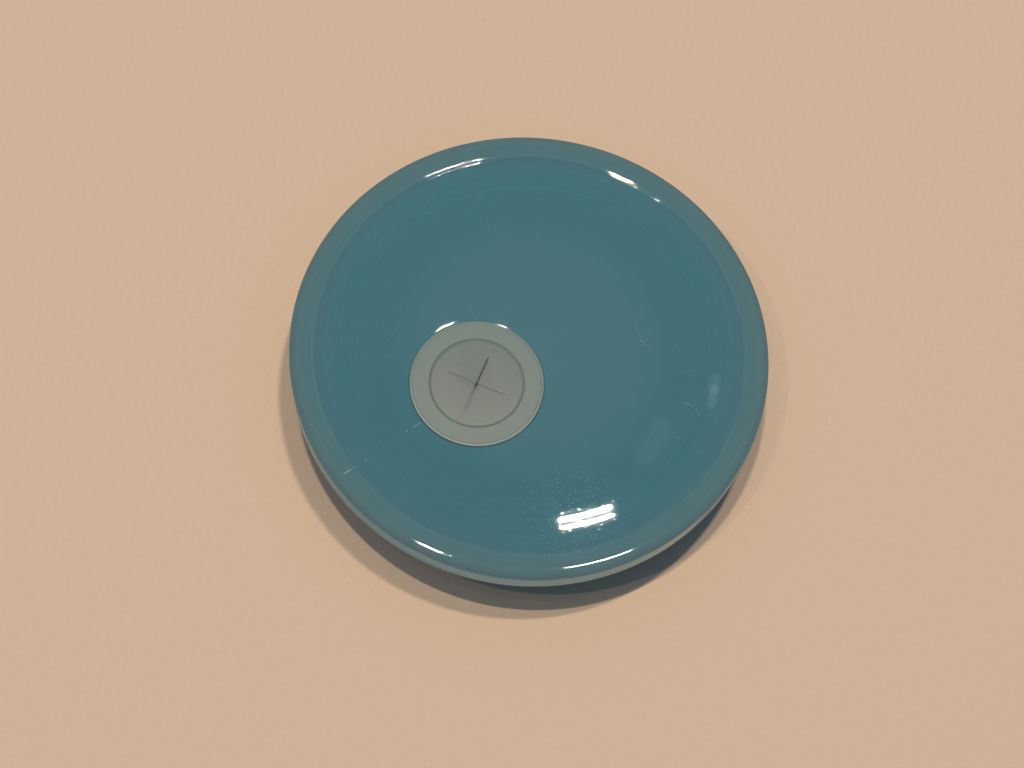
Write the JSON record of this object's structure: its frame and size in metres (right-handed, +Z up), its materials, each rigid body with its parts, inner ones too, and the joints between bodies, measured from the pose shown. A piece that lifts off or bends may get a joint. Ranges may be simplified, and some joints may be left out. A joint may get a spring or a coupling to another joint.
{
  "type": "straw lid",
  "caption": "Round press-in drinking glass lid with a raised rim, a sealing plug below and an off-centre silicone straw valve with a cross slit.",
  "frame": {"origin": "centre of the lid at the foot of its plug, where it stands on a table", "axes": "+Z up through the lid's axis, -Y from the lid's centre toward the straw valve"},
  "size_m": [0.07, 0.07, 0.0126],
  "materials": {
    "lid_plastic": "gloss",
    "seal_silicone": "satin",
    "valve_silicone": "satin"
  },
  "bodies": {
    "lid": {"lid_shell": "lid_plastic", "seal_ring": "seal_silicone", "straw_valve": "valve_silicone"},
    "flap_1": {"valve_flap_1": "valve_silicone"},
    "flap_2": {"valve_flap_2": "valve_silicone"},
    "flap_3": {"valve_flap_3": "valve_silicone"},
    "flap_4": {"valve_flap_4": "valve_silicone"}
  },
  "joints": [
    {"name": "flap_1_bend", "type": "hinge", "parent": "lid", "child": "flap_1", "pos_m": [0.00078, -0.0068, 0.01202], "axis": [0.9677, -0.2521, 0], "range_deg": [-80, 80], "stiffness_Nm_per_rad": 0.0001},
    {"name": "flap_2_bend", "type": "hinge", "parent": "lid", "child": "flap_2", "pos_m": [-0.003, -0.00902, 0.01202], "axis": [0.2521, 0.9677, 0], "range_deg": [-80, 80], "stiffness_Nm_per_rad": 0.0001},
    {"name": "flap_3_bend", "type": "hinge", "parent": "lid", "child": "flap_3", "pos_m": [-0.00078, -0.0128, 0.01202], "axis": [-0.9677, 0.2521, 0], "range_deg": [-80, 80], "stiffness_Nm_per_rad": 0.0001},
    {"name": "flap_4_bend", "type": "hinge", "parent": "lid", "child": "flap_4", "pos_m": [0.003, -0.01058, 0.01202], "axis": [-0.2521, -0.9677, 0], "range_deg": [-80, 80], "stiffness_Nm_per_rad": 0.0001}
  ]
}
